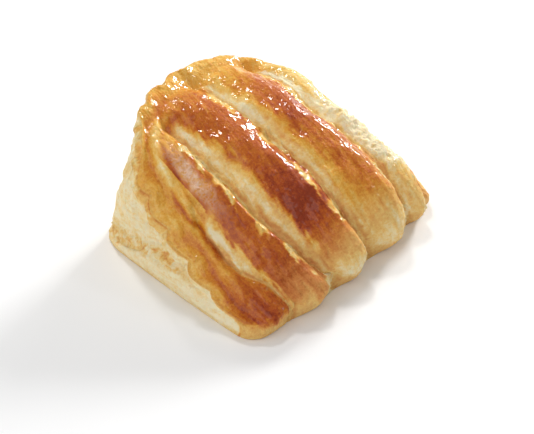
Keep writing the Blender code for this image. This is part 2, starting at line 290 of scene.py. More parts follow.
# How far the crest of each strip between the slits is baked, 0 raw to 1 darkest.
CREST_BAKE = (
    (0.36, 0.32, 0.26, 0.28, 0.38, 0.50, 0.78, 0.80, 0.26),
    (0.38, 0.50, 0.62, 0.72, 0.74, 0.78, 0.78, 0.48, 0.14),
    (0.36, 0.62, 0.76, 0.78, 0.86, 0.94, 0.44, 0.20, 0.10),
    (0.32, 0.48, 0.66, 0.78, 0.70, 0.60, 0.34, 0.18, 0.10),
    (0.28, 0.30, 0.24, 0.10, 0.04, 0.10, 0.34, 0.28, 0.10),
    (0.28, 0.32, 0.34, 0.24, 0.18, 0.32, 0.54, 0.42, 0.12),
)
# How wide the change from pale to the crest's brown is on each strip's left flank.
FLANK_WIDTH = (
    (2.0,) * 9,
    (2.0, 2.2, 2.6, 3.0, 2.0, 1.6, 1.6, 1.6, 1.6),
    (2.5, 2.8, 3.6, 5.0, 4.0, 2.4, 2.2, 2.2, 2.2),
    (2.5, 3.0, 4.5, 5.5, 7.0, 8.0, 6.0, 4.0, 4.0),
    (2.0, 2.0, 2.0, 2.0, 2.5, 2.5, 2.0, 2.0, 2.0),
    (1.5,) * 9,
)
FLANK_START = 0.30
FLANK_RISE = (-0.15, 0.8)
FLANK_MOTTLE = 0.3
BLEND_PASSES = 40
STRIPS_PART = (0.04, 0.12)

# Baking of the bare bands, along them and across them from the cut edge to the soft edge.
BAND_BAKE = (0.10, 0.08, 0.07, 0.11, 0.16, 0.23, 0.26, 0.22, 0.12)
LEAST_BAND = 0.5
CUT_OVERLAP = 0.5
SOFT_OVERLAP = 1.0
# Painted shade: the tan in each band's valley next to the cut edge.
TAN_VALLEY_SHADE = 0.21
TAN_VALLEY_SHADE_TO = (0.30, 0.50)
PALE_RIDGE = 0.07
PALE_RIDGE_PLACE = (0.60, 0.16)
GOLDEN_EDGE = 0.16
GOLDEN_EDGE_FROM = (0.72, 1.0)
BAND_MOTTLE = 0.03
RIGHT_BANDS_PALER = 0.12
RIGHT_BANDS_FROM = (-3.0, 0.0)
# The first slit's band is golden at its start and palest half-way.
FIRST_BAND_TO = (2.0, 4.0)
GOLDEN_START = 0.2
GOLDEN_START_TO = (0.27, 0.36)
PALE_MIDDLE = 0.15
PALE_MIDDLE_PLACE = (0.57, 0.17)

# The patch on the second strip where a pale pinkish sheen is painted, and where its coat is duller.
PATCH_INSET = 3.2
PATCH_LEAN = 4.0
PATCH_LEAN_FROM = 0.3
PATCH_WIDTH = 2.3
PATCH_PLACE = (0.31, 0.12)
PAINTED_SHEEN_PALER = 0.20

# Baking of the rim, the strips' starts, the lobes, the lips and the crumbly strip.
COVER = 0.8
RIM_BAKE = 0.36
RIM_TO = (2.5, 6.0)
STRIPS_START = (0.14, 0.22)
STRIPS_START_LEFT = (-4.0, -1.0)
OUTER_LINE = (0.20, 5.2, 1.5)
INNER_LINE = (0.16, 10.4, 1.2)
POCKET_BAKE = 0.12
SKIN_GRAIN = 0.03
SKIN_MOTTLE = 0.02
LOBE_BAKE = 0.02
LOBE_FOLD_BAKE = 0.12
LOBE_BASE_BAKE = 0.32
LOBE_BASE_TO = (3.2, 6.2)
LOBE_BASE_FROM = (0.6, 0.75)
LOBE_BASE_MOTTLE = 0.9
UPPER_LEFT_BAKE = 0.40
UPPER_LEFT_TO = (0.24, 0.36)
UPPER_LEFT_ACROSS = (-5.0, -2.0)
CRUMBLY_MOTTLE = 0.08
CRUMBLY_GRAIN = 0.06
CREASE_BAKE = 0.42
RIB_PALER = 0.12
# Painted shade: darker tan in the narrow valley beside each cut edge.
VALLEY_SHADE_BAKE = 0.10
ROLL_PALER = 0.06
# The lips' cream is partly pale torn dough, partly painted highlight on the skin's shoulder.
LIP_BAKE = 0.06
LIP_COVER = 0.85

# How dull the skin is where the egg wash is thin.
LOBE_DULL = 0.85
LOBE_DULL_FROM = (0.68, 0.82)
LOBE_DULL_ACROSS = (14.0, 20.0)
FOOT_DULL = 0.8
FOOT_DULL_TO = (3.2, 6.5)
PATCH_DULL = 0.5
CRUMBLY_DULL = 0.8
LIP_DULL = 0.25

# Baking of the walls.
WALL_BAKE = 0.06
RIM_LINE_BAKE = 0.36
RIM_LINE = 0.7
ROLLED_BAKE = 0.27
ROLLED_EDGE = 4.2
ROLLED_FROM = (13.0, 22.0)
ROLLED_THERE = (-1.1, 0.3)
# The dark line just above the lower leaf's ledge: partly crumb colour, partly painted shade in the pocket
# over the ledge.
LEDGE_CRUMB_AND_SHADE_BAKE = 0.34
LEDGE_LINE_UP = 1.0
LEDGE_LINE_WIDTH = 1.1
LEDGE_LINE_THERE = (-0.4, 0.5)
GROUND_LINE_BAKE = 0.16
GROUND_LINE = 1.3
CRUMB_BAKE = 0.14
CRUMB_BAKE_FROM = (0.1, 0.9)
CORNER_BAKE = 0.08
CORNER_BAKE_WIDTH = 9.0
CORNER_BAKE_THERE = (-0.3, 0.6)
CORNER_BAKE_FROM = (1.0, 3.0)
WALL_SKIN = 0.5
WALL_SKIN_EDGE = 0.6

# Colours from raw to darkest, where the skin is egg-washed and where dough is bare.
GLAZED_COLOURS = (
    (0.00, (246, 230, 190)),
    (0.12, (242, 212, 142)),
    (0.26, (238, 192, 98)),
    (0.40, (230, 168, 62)),
    (0.55, (216, 138, 38)),
    (0.72, (196, 102, 18)),
    (0.88, (172, 72, 12)),
    (1.00, (144, 50, 8)),
)
BARE_COLOURS = (
    (0.00, (246, 232, 194)),
    (0.12, (243, 217, 160)),
    (0.26, (238, 198, 122)),
    (0.40, (228, 173, 104)),
    (0.55, (216, 148, 86)),
    (0.72, (198, 121, 66)),
    (0.88, (172, 92, 38)),
    (1.00, (142, 66, 26)),
)
# Painted sheen: the pale pinkish colour speckled over the patch on the second strip.
PAINTED_SHEEN_COLOUR = (238, 200, 172)
PAINTED_SHEEN_SPECKLES = (0.8, 1.15, 0.0, 0.95)

# Fine noises of the material: scale, detail, how much they change the baking and the relief.
# The streaks run along the strips and are scaled to millimetres, the others to metres.
STREAK = (1.4, 4.0, 0.05, 0.9)
GRAIN = (1600.0, 3.0, 0.07, 1.1)
FLECK = (620.0, 4.0, 0.07, 1.5)
SPECK = (2900.0, 2.0, 0.03, 0.7)
STREAK_STRETCH = (1.0, 0.12, 1.0)
NOISE_RANGE = (0.3, 0.7)
NOISE_ROUGHNESS = 0.6
BARE_ROUGHNESS = 0.64
SKIN_ROUGHNESS = 0.4
GRAIN_ROUGHNESS = (-0.06, 0.10)
SKIN_COAT = (0.1, 1.0, 0.0, 0.6)
CRUST_SETTINGS = {
    "Coat Roughness": 0.07,
    "Specular IOR Level": 0.1,
    "Subsurface Weight": 0.12,
    "Subsurface Radius": (1.0, 0.5, 0.2),
    "Subsurface Scale": 0.0012,
}
RELIEF_STRENGTH = 0.7
RELIEF_DISTANCE = 0.0004

# Stage. A light has its azimuth, elevation, distance, width, height and power.
CAMERA_AZIMUTH = -50.4
CAMERA_ELEVATION = 40.0
CAMERA_DISTANCE = 0.516
CAMERA_LENS = 120.0
CAMERA_SENSOR = 36.0
CAMERA_NEAR = 0.01
CAMERA_AIM = (1.7, 1.2, 1.9)
SURROUNDINGS = 0.36
LIGHTS = {
    "key": (96.0, 26.0, 0.8, 0.16, 0.14, 4.9),
    "top": (150.0, 60.0, 1.0, 0.13, 0.13, 2.1),
    "back": (156.0, 34.0, 1.0, 0.07, 0.07, 1.0),
    "front": (38.0, 42.0, 1.0, 0.08, 0.08, 0.5),
    "low": (108.0, 13.0, 1.0, 0.12, 0.08, 0.9),
    "fill": (-94.0, 38.0, 1.3, 1.7, 1.5, 8.0),
}
FLOOR_REACH = 3.0
FLOOR_DROP = 0.05
FLOOR_CLOUDS = (3.0, 2.0)
FLOOR_TINTS = (0.93, 0.95)
FLOOR_SETTINGS = {"Roughness": 0.7, "Specular IOR Level": 0.2}


def ease(low, high, value):
    """0 up to low, 1 from high on, smooth between."""
    share = np.clip((value - low) / (high - low), 0.0, 1.0)
    return share * share * (3.0 - 2.0 * share)


def bump(centre, width, value):
    """1 at the centre, falling smoothly to 0 over a width."""
    return np.exp(-(((value - centre) / width) ** 2))


def plateau(width, value):
    """1 near zero, falling steeply to 0 at about the width."""
    return np.exp(-((value / width) ** 4))


def towards(level, goal, share):
    """A level moved a share of the way to a goal."""
    return level + (goal - level) * share


def through(places, values, at):
    """A smooth curve through the values at their places, read at other places."""
    places = np.asarray(places, float)
    values = np.asarray(values, float)
    slopes = np.gradient(values, places)
    i = np.clip(np.searchsorted(places, at, side="right") - 1, 0, len(places) - 2)
    width = places[i + 1] - places[i]
    t = (at - places[i]) / width
    level = (1.0 + 2.0 * t) * (1.0 - t) ** 2 * values[i] + t * t * (3.0 - 2.0 * t) * values[i + 1]
    lean = t * (1.0 - t) ** 2 * slopes[i] - t * t * (1.0 - t) * slopes[i + 1]
    return level + width * lean


def uneven(a, b, wave):
    """A smooth irregular wave, about -1 to 1, over two distances."""
    total = 0.0
    for k, pitch in enumerate(WAVE_PITCHES):
        turn = wave + WAVE_TURN * k
        phase = (a * math.cos(turn) + b * math.sin(turn)) / pitch
        total = total + np.sin(2.0 * math.pi * phase + WAVE_SHIFT * turn)
    return total / WAVE_SCALE


def cloud(points, size, seed, octaves):
    """Irregular noise in space, about -1 to 1, with lumps of about that size."""
    lattice = np.random.default_rng(seed).uniform(-1.0, 1.0, (LATTICE, LATTICE, LATTICE))
    total = np.zeros(points.shape[:-1])
    weight = 0.0
    for octave in range(octaves):
        at = points / np.asarray(size, float) * 2.0**octave + OCTAVE_SHIFT * octave
        cell = np.floor(at).astype(int)
        t = at - cell
        t = t * t * (3.0 - 2.0 * t)
        for corner in itertools.product((0, 1), repeat=3):
            share = np.prod(np.where(corner, t, 1.0 - t), axis=-1)
            i, j, k = np.moveaxis((cell + corner) % LATTICE, -1, 0)
            total += share * lattice[i, j, k] * OCTAVE_FADE**octave
        weight += OCTAVE_FADE**octave
    return CLOUD_SCALE * total / weight


def pattern(points, name, slit=0):
    """One of the named irregular patterns at the points, for the slit of that number."""
    strength, size, seed, octaves = PATTERNS[name]
    return strength * cloud(points, size, seed + slit, octaves)


def run_length(points):
    """Distance along a line of points, from its first point."""
    steps = np.linalg.norm(np.diff(points, axis=0), axis=1)
    return np.concatenate([[0.0], np.cumsum(steps)])


def evenly(points, count):
    """The same line with count steps of equal length."""
    length = run_length(points)
    at = np.linspace(0.0, length[-1], count + 1)
    return np.stack([np.interp(at, length, points[:, k]) for k in range(points.shape[1])], axis=1)


def rounded(points, width):
    """The same line with its bends rounded over a width. Its ends stay."""
    step = np.linalg.norm(points[1] - points[0])
    reach = max(1, int(min(0.5 * width / max(step, 1e-9), len(points))))
    index = np.arange(len(points))
    room = np.minimum(np.minimum(index, len(points) - 1 - index), reach)
    total = np.concatenate([np.zeros((1, points.shape[1])), np.cumsum(points, axis=0)])
    return (total[index + room + 1] - total[index - room]) / (2 * room + 1)[:, None]


def corner_setback(distance):
    """How far the round corners of the fold stay back, at a distance from the side."""
    inside = max(0.0, 1.0 - distance / CORNER_ROUNDING)
    return CORNER_ROUNDING * (1.0 - math.sqrt(1.0 - inside * inside))


def slit_places():
    """Places of the sides and slits across the pastry, from 0 to 1."""
    fold = np.asarray(FOLD_X)
    return (fold - fold[0]) / (fold[-1] - fold[0])


def column_places(slits):
    """Places of the grid's columns, with a column on every slit."""
    places = [np.zeros(1)]
    for left, right, count in zip(slits[:-1], slits[1:], STRIP_COLUMNS):
        places.append(left + (right - left) * np.arange(1, count + 1) / count)
    return np.concatenate(places)


def line_over(place, slits):
    """One line of points: from the rim over the crown, down to the fold and under it."""
    fold_x = through(slits, FOLD_X, place)
    fold_y = through(slits, FOLD_Y, place)
    fold_y += corner_setback(min(fold_x - FOLD_X[0], FOLD_X[-1] - fold_x))
    fold_z = through(slits, FOLD_Z, place)
    rim_x = through(slits, RIM_X, place)
    rim_y = through(slits, RIM_Y, place)
    rim_z = through(slits, RIM_Z, place)
    roundness = through(slits, ROUNDNESS, place)
    angle = np.linspace(0.0, 0.5 * math.pi, CURVE_SAMPLES)
    run = np.sin(angle) ** (2.0 / roundness)
    down = np.clip(1.0 - (run / through(slits, SLOPE_END, place)) ** roundness, 0.0, 1.0)
    bow = through(BOW_RUN, RIGHT_BOW, run) * max(0.0, 1.0 - (1.0 - place) / SIDE_BOW_REACH)
    bow -= through(BOW_RUN, LEFT_BOW, run) * max(0.0, 1.0 - place / SIDE_BOW_REACH)
    over_x = rim_x + (fold_x - rim_x) * run + bow
    over_y = rim_y + (fold_y - rim_y) * run
    over_z = fold_z + (rim_z - fold_z) * down ** (1.0 / roundness)
    under_y = fold_y + through(slits, TUCK, place) * (1.0 - np.cos(angle[1:]))
    under_z = fold_z * (1.0 - np.sin(angle[1:]))
    over = np.stack([over_x, over_y, over_z], axis=1)
    under = np.stack([np.full(len(under_y), fold_x), under_y, under_z], axis=1)
    line = evenly(np.concatenate([over, under]), CURVE_SAMPLES)
    return evenly(rounded(line, BEND_ROUNDING), LINE_ROWS)


def grid_normals(grid):
    """Outward unit normals of a grid of points."""
    normal = np.cross(np.gradient(grid, axis=1), np.gradient(grid, axis=0))
    return normal / np.maximum(np.linalg.norm(normal, axis=2, keepdims=True), 1e-9)


def distances(grid):
    """Distances over the leaf from its left side, its back and its right side."""
    across = np.linalg.norm(np.diff(grid, axis=0), axis=2)
    from_left = np.concatenate([np.zeros((1, grid.shape[1])), np.cumsum(across, axis=0)])
    along = np.linalg.norm(np.diff(grid, axis=1), axis=2)
    from_back = np.concatenate([np.zeros((len(grid), 1)), np.cumsum(along, axis=1)], axis=1)
    return from_left, from_back, from_left[-1:] - from_left


def flow_points(across, along):
    """Points for patterns that are stretched along the dough's own directions."""
    return np.stack([across, along, np.zeros_like(across)], axis=2)


class Leaf:
    """The top leaf's smooth grid with the measures that its relief and its baking follow."""

    def __init__(self):
        slits = slit_places()
        self.grid = np.stack([line_over(place, slits) for place in column_places(slits)])
        self.left, self.back, self.right = distances(self.grid)
        self.share = np.linspace(0.0, 1.0, LINE_ROWS + 1)
        self.y = self.grid[:, :, 1]
        self.z = self.grid[:, :, 2]
        self.lines = self.left[np.cumsum((0,) + STRIP_COLUMNS)]
        self.standing = ease(*RIM_STANDS, self.z)
        self.left_side = (1.0 - ease(*LEFT_SIDE, self.left)) * self.standing
        self.flow = flow_points(self.left, self.back)

    def along(self, table):
        """A table's row read along the leaf's lines."""
        return through(STATIONS, table, self.share)

    def from_slit(self, slit):
        """Distance to the right of a slit's line."""
        return self.left - self.lines[slit]


def slit_band(leaf, k):
    """Distances into the exposed band of a slit from its cut edge and from its soft edge."""
    wander = pattern(leaf.flow, "edge wander", k) + pattern(leaf.flow, "fine edge wander", k)
    opened = ease(0.0, OPENING, SLIT_START_Y[k] + BAND_AHEAD - leaf.y)
    offset = leaf.from_slit(k + 1)
    cut = offset - leaf.along(CUT_EDGE[k]) * opened + wander * opened
    soft = leaf.along(SOFT_EDGE[k]) * opened - offset
    return cut, soft, opened


def slit_relief(leaf):
    """How far the leaf sinks towards the slits, deepest at the foot of each cut edge."""
    relief = np.zeros(leaf.left.shape)
    at_fold = ease(NOTCH_FROM_Y, NOTCH_FULL_Y, leaf.y)
    for k, (start, depth, notch) in enumerate(zip(SLIT_START_Y, SLIT_DEPTH, NOTCH_DEPTH)):
        opened = ease(-SLIT_FADE, 0.0, start - leaf.y)
        centre = leaf.along(CUT_EDGE[k]) * opened
        offset = leaf.from_slit(k + 1) - centre
        room_left = 0.5 * (leaf.lines[k + 1] - leaf.lines[k]) + centre
        room_right = 0.5 * (leaf.lines[k + 2] - leaf.lines[k + 1]) - centre
        reach = np.where(offset < 0.0, np.maximum(room_left, LEAST_REACH), room_right)
        power = np.where(offset < 0.0, STEEP_SIDE, GENTLE_SIDE)
        valley = np.clip(1.0 - np.abs(offset) / reach, 0.0, 1.0) ** power
        deep = depth + (notch - depth) * at_fold
        deep = deep * (1.0 + DEPTH_VARIATION * uneven(leaf.y, DEPTH_WAVE_STEP * k, DEPTH_WAVE))
        relief += valley * opened * deep
    return relief


def torn_lip_and_painted_highlight(leaf, k, cut):
    """1 on the cream lip left of a cut edge: partly pale torn skin, partly painted highlight on the
    skin's shoulder. The first slit has none.
    """
    torn = cut + pattern(leaf.flow, "lip edge", k)
    there = ease(*LIP_THERE, pattern(leaf.flow, "lip gaps", k))
    lip = ease(-LIP_WIDTH - LIP_SOFTNESS, -LIP_WIDTH, torn) * (1.0 - ease(*LIP_END, cut))
    return lip * there * (k > 0)


def cut_edges(leaf):
    """Heights, bareness, baking and cream lips, partly painted highlight, beside the slits' cut edges.

    Beyond each cut edge of the glazed skin a cream rolled layer stands up, then a narrow
    valley, darkened as painted shade, then the band of bare dough.
    """
    height, bare, bake, cream = np.zeros((4, *leaf.left.shape))
    for k in range(len(SLIT_START_Y)):
        cut, soft, opened = slit_band(leaf, k)
        grown = ease(0.0, EDGE_GROWTH, SLIT_START_Y[k] - leaf.y)
        there = ease(*ROLL_THERE, pattern(leaf.flow, "cream roll gaps", k))
        second = cut + pattern(leaf.flow, "cream roll wander", k)
        step = (0.5 - ease(*EDGE_STEP, cut)) * bump(0.0, EDGE_FADE, cut)
        roll = bump(*ROLL_PLACE, second) * towards(LEAST_ROLL, 1.0, there)
        valley = bump(*VALLEY_PLACE, second) * towards(LEAST_VALLEY, 1.0, there)
        crinkle = bump(*CRINKLE_PLACE, cut) * pattern(leaf.flow, "edge crinkle", k)
        height += grown * (EDGE_HEIGHT * step + ROLL_HEIGHT * roll - VALLEY_DEPTH * valley + crinkle)
        lip = torn_lip_and_painted_highlight(leaf, k, cut)
        height += grown * lip * pattern(leaf.flow, "lip crinkle", k)
        # The valley beside the cut edge gets painted shade; the cream roll is paler.
        bake += grown * (VALLEY_SHADE_BAKE * valley - ROLL_PALER * roll)
        cream = np.maximum(cream, grown * lip)
        ragged = soft + pattern(leaf.flow, "band edge", k)
        bare = np.maximum(bare, opened * ease(*BARE_FROM_CUT, cut) * ease(*BARE_TO_SOFT, ragged))
    return height, bare, bake, cream


def rim_distance(leaf):
    """Distance from the leaf's standing rim, with the corners rounded."""
    edges = (leaf.left, leaf.back, leaf.right)
    return -CORNER_SOFTNESS * np.log(sum(np.exp(-edge / CORNER_SOFTNESS) for edge in edges))


def crumbly_area(leaf):
    """Where the skin has broken up into pale flakes: the strip left of the last slit."""
    strip = ease(*CRUMBLY_LEFT, leaf.from_slit(FOURTH_SLIT))
    strip *= ease(*CRUMBLY_RIGHT, -leaf.from_slit(FIFTH_SLIT))
    return strip * ease(*CRUMBLY_FROM, leaf.share) * (1.0 - ease(*CRUMBLY_TO, leaf.share))


def lobes(leaf):
    """1 over the rounded ends of the strips, where the skin lies in fine folds."""
    return ease(*LOBES_FROM, leaf.share) * (1.0 - ease(*LOBES_TO, leaf.share))


def lobe_folds(leaf):
    """The fine folds along the lobes, 1 deep in a fold."""
    return np.abs(pattern(leaf.flow, "lobe folds"))


def surface_relief(leaf, bare, crumbly, inset):
    """Small unevenness: wrinkles and blisters of the skin, thin layers of the bare dough."""
    points = leaf.grid
    lumps = pattern(points, "lumps") + pattern(points, "small lumps")
    wrinkles = pattern(leaf.flow, "wrinkles") * ease(*WRINKLES_FROM, leaf.back)
    blisters = BLISTER_HEIGHT * ease(*BLISTERS_FROM, pattern(points, "blisters"))
    layers = pattern(leaf.flow, "thin layers") + pattern(points, "layer grain")
    flakes = FLAKE_STEPS * pattern(points, "flakes")
    terraces = (np.floor(flakes) + ease(*FLAKE_EDGE, flakes % 1.0)) / FLAKE_STEPS
    broken = FLAKE_HEIGHT * terraces + pattern(points, "flake grain")
    at_rim = (1.0 - ease(*RIM_GRAIN_INSET, inset)) * leaf.standing
    folds = -LOBE_FOLD_DEPTH * lobe_folds(leaf) * lobes(leaf)
    skin = (1.0 - bare) * (wrinkles + blisters) * (1.0 - crumbly)
    fine = skin + bare * layers + crumbly * broken
    return (lumps + fine + pattern(points, "rim grain") * at_rim + folds) * ease(*FOOT_STAYS, leaf.z)


def crimp_wave(run):
    """0 in the notches between the rim's scallops, 1 in the middle of each."""
    return np.abs(np.sin(math.pi * (run - CRIMP_FROM) / CRIMP_PITCH))


def crimp_edges(leaf):
    """The grid with the rim's edge in scallops, and where a dimple is pressed inside each."""
    grid = leaf.grid
    inner = slice(RIM_STEPS, RIM_STEPS + 1)
    left_run = run_length(grid[0, ::-1])[::-1]
    back_run = left_run[0] + run_length(grid[:, 0])
    right_run = back_run[-1] + run_length(grid[-1])
    edges = (
        (leaf.left, left_run[None, :], grid[:1] - grid[inner]),
        (leaf.back, back_run[:, None], grid[:, :1] - grid[:, inner]),
        (leaf.right, right_run[None, :], grid[-1:] - grid[::-1][inner]),
    )
    nearest_edge = np.minimum.reduce([leaf.left, leaf.back, leaf.right])
    pockets = np.zeros(leaf.left.shape)
    moved = grid
    for distance, run, out in edges:
        out = out / np.linalg.norm(out, axis=2, keepdims=True)
        faint = towards(1.0, FAINT_CRIMP, ease(*CRIMP_FAINTER, run))
        wave = crimp_wave(run)
        nearest = np.exp(nearest_edge - distance) * leaf.standing * faint
        scallop = CRIMP_DEPTH * (wave - CRIMP_MEAN) * bump(0.0, CRIMP_REACH, distance)
        moved = moved + out * (scallop * nearest)[:, :, None]
        pocket = bump(*POCKET_PLACE, distance) * wave**2 * nearest
        pockets = np.maximum(pockets, pocket)
    return moved, pockets


def side_crease(leaf):
    """The crease pressed along the left strip, a few millimetres in from its edge."""
    wander = pattern(leaf.flow, "crease wander")
    line = leaf.left - CREASE_INSET - CREASE_SPREAD * leaf.share - wander
    stretch = ease(*CREASE_FROM, leaf.share) * (1.0 - ease(*CREASE_TO, leaf.share))
    return bump(0.0, CREASE_WIDTH, line) * stretch


def glaze(leaf, bare, crumbly, cream):
    """How much each point of the top leaf shines with egg wash."""
    lobe = ease(*LOBE_DULL_FROM, leaf.share) * ease(*LOBE_DULL_ACROSS, leaf.left)
    glazed = 1.0 - LOBE_DULL * lobe
    glazed *= 1.0 - FOOT_DULL * (1.0 - ease(*FOOT_DULL_TO, leaf.z))
    glazed *= 1.0 - PATCH_DULL * painted_sheen_patch(leaf)
    return (1.0 - bare) * (1.0 - CRUMBLY_DULL * crumbly) * glazed * (1.0 - LIP_DULL * cream)


def top_leaf(leaf):
    """The finished grid of the top leaf, how baked it is and how much of it is skin."""
    normal = grid_normals(leaf.grid)
    normal[:, :, 2] *= ease(*NORMAL_LEVELS, leaf.z)
    free = ease(*SWAY_FREE, leaf.z)
    x, y, z = np.moveaxis(leaf.grid, 2, 0)
    edge_height, bare, edge_bake, cream = cut_edges(leaf)
    crumbly = crumbly_area(leaf)
    crease = side_crease(leaf)
    inset = rim_distance(leaf)
    clear = ease(*CLEAR_OF_RIM, inset)
    moved, pockets = crimp_edges(leaf)
    rib = bump(*RIB_PLACE, inset) * leaf.left_side * (1.0 - ease(*RIB_TO, leaf.share))
    height = SWELL * uneven(x, y + SWELL_LEAN * z, SWELL_WAVE) * free - slit_relief(leaf)
    height -= PRESS_DEPTH * bump(*PRESS_PLACE, inset) * leaf.standing
    height += RIB_HEIGHT * rib - POCKET_DEPTH * pockets - CREASE_DEPTH * crease
    height += edge_height * clear + surface_relief(leaf, bare, crumbly, inset)
    moved = moved + normal * height[:, :, None]
    moved[:, :, 0] += SWAY * uneven(y, SWAY_LEAN * x, SWAY_WAVE) * free
    moved[:, :, 2] = np.maximum(moved[:, :, 2], 0.0)
    moved[:, -1, 2] = 0.0
    bake = leaf_bake(leaf, bare, crumbly, inset, pockets)
    bake += CREASE_BAKE * crease - RIB_PALER * rib + edge_bake * clear
    # The cream lips, partly painted highlight, make the skin paler beside each cut edge.
    bake = towards(bake, LIP_BAKE, LIP_COVER * cream * clear)
    return moved, bake, glaze(leaf, bare, crumbly, cream)


def crest_levels(leaf, mottle):
    """How far the strips are baked: dark on the crests, golden on the flanks by the slits."""
    level = np.zeros(leaf.left.shape)
    fibres = pattern(leaf.flow, "fibres")
    for j in range(len(STRIP_COLUMNS)):
        inside = np.ones(leaf.left.shape, bool)
        rise = np.ones(leaf.left.shape)
        if j > 0:
            cut, soft, opened = slit_band(leaf, j - 1)
            inside = cut > soft
            rough = (-soft + FLANK_MOTTLE * mottle + fibres) / leaf.along(FLANK_WIDTH[j])
            rise = towards(1.0, ease(*FLANK_RISE, rough), opened)
        strip_level = towards(FLANK_START, leaf.along(CREST_BAKE[j]), rise)
        level[inside] = strip_level[inside]
    return blend_strips(leaf, level)


def blend_strips(leaf, level):
    """The strips' levels blended where no slit parts them, near the rim."""
    soft = level.copy()
    for _ in range(BLEND_PASSES):
        soft[1:-1] = 0.25 * soft[:-2] + 0.5 * soft[1:-1] + 0.25 * soft[2:]
    return towards(level, soft, 1.0 - ease(*STRIPS_PART, leaf.share))


def across_bands(leaf):
    """Across each exposed band: tan painted shade in the valley by the cut edge, a pale ridge, golden
    beside the skin.
    """
    change = np.zeros(leaf.left.shape)
    for k in range(len(SLIT_START_Y)):
        cut, soft, opened = slit_band(leaf, k)
        share = cut / np.maximum(cut + soft, LEAST_BAND) + pattern(leaf.flow, "band streaks", k)
        inside = (cut > -CUT_OVERLAP) & (soft > -SOFT_OVERLAP)
        # Painted shade, tan, in the valley next to the cut edge.
        across = TAN_VALLEY_SHADE * (1.0 - ease(*TAN_VALLEY_SHADE_TO, share))
        across -= PALE_RIDGE * bump(*PALE_RIDGE_PLACE, share)
        across += GOLDEN_EDGE * ease(*GOLDEN_EDGE_FROM, share)
        change = np.where(inside, across * opened, change)
    return change


def band_levels(leaf, streaks, mottle, grain):
    """How far the bare dough in the slits is baked."""
    level = through(STATIONS, BAND_BAKE, leaf.share) + streaks + BAND_MOTTLE * (mottle + grain)
    level -= RIGHT_BANDS_PALER * ease(*RIGHT_BANDS_FROM, leaf.from_slit(FOURTH_SLIT))
    level += across_bands(leaf)
    along = GOLDEN_START * (1.0 - ease(*GOLDEN_START_TO, leaf.share))
    along -= PALE_MIDDLE * bump(*PALE_MIDDLE_PLACE, leaf.share)
    return level + along * (1.0 - ease(*FIRST_BAND_TO, leaf.from_slit(FIRST_SLIT)))


def painted_sheen_patch(leaf):
    """1 on the patch at the left of the second strip where a pale pinkish sheen is painted and the coat
    is duller.
    """
    across = leaf.from_slit(FIRST_SLIT) - PATCH_INSET + PATCH_LEAN * (leaf.share - PATCH_LEAN_FROM)
    across = across + pattern(leaf.flow, "painted sheen patch edge")
    return plateau(PATCH_WIDTH, across) * bump(*PATCH_PLACE, leaf.share)


def skin_levels(leaf, inset, pockets, mottle):
    """How far the skin is baked: the strips, their golden starts and the golden rim."""
    # The patch on the second strip is made paler as painted sheen.
    level = crest_levels(leaf, mottle) - PAINTED_SHEEN_PALER * painted_sheen_patch(leaf)
    start = 1.0 - ease(*STRIPS_START, leaf.share)
    start = start * (1.0 - ease(*STRIPS_START_LEFT, leaf.from_slit(SECOND_SLIT)))
    level = towards(level, RIM_BAKE, COVER * start)
    level = towards(level, RIM_BAKE, COVER * (1.0 - ease(*RIM_TO, inset)) * leaf.standing)
    for strength, line_inset, width in (OUTER_LINE, INNER_LINE):
        level += leaf.left_side * strength * bump(line_inset, width, inset)
    return level + POCKET_BAKE * pockets


def leaf_bake(leaf, bare, crumbly, inset, pockets):
    """How far each point of the top leaf is baked."""
    mottle = pattern(leaf.grid, "mottle")
    grain = pattern(leaf.grid, "grain")
    streaks = pattern(leaf.flow, "streaks")
    level = skin_levels(leaf, inset, pockets, mottle)
    level += streaks + pattern(leaf.grid, "patches") + SKIN_GRAIN * grain + SKIN_MOTTLE * mottle
    level += (LOBE_BAKE - LOBE_FOLD_BAKE * lobe_folds(leaf)) * lobes(leaf)
    base = 1.0 - ease(*LOBE_BASE_TO, leaf.z + LOBE_BASE_MOTTLE * mottle)
    level = towards(level, LOBE_BASE_BAKE, base * ease(*LOBE_BASE_FROM, leaf.share))
    level = towards(level, band_levels(leaf, streaks, mottle, grain), bare)
    upper = 1.0 - ease(*UPPER_LEFT_TO, leaf.share)
    upper = upper * (1.0 - ease(*UPPER_LEFT_ACROSS, leaf.from_slit(FIRST_SLIT)))
    level = towards(level, np.maximum(level, UPPER_LEFT_BAKE), COVER * upper)
    return towards(level, CRUMBLY_MOTTLE * mottle + CRUMBLY_GRAIN * grain, crumbly)


def foot_line(rim, left_corner, right_corner):
    """The walls' outline on the ground, one point below each point of the rim."""
    corners = (rim[0, :2], np.asarray(FOOT_LEFT), np.asarray(FOOT_RIGHT), rim[-1, :2])
    turns = (0, left_corner, right_corner, len(rim) - 1)
    run = run_length(rim[:, :2])
    foot = np.zeros((len(rim), 2))
    ends = zip(turns[:-1], turns[1:], corners[:-1], corners[1:], FOOT_BULGE)
    for first, last, start, end, bulge in ends:
        share = (run[first : last + 1] - run[first]) / (run[last] - run[first])
        outward = np.array((start[1] - end[1], end[0] - start[0])) / math.dist(start, end)
        bulge = bulge * np.sin(math.pi * share) ** FOOT_BULGE_FULLNESS
        straight = start + (end - start) * share[:, None]
        foot[first : last + 1] = straight + outward * bulge[:, None]
    return rounded(foot, FOOT_ROUNDING)


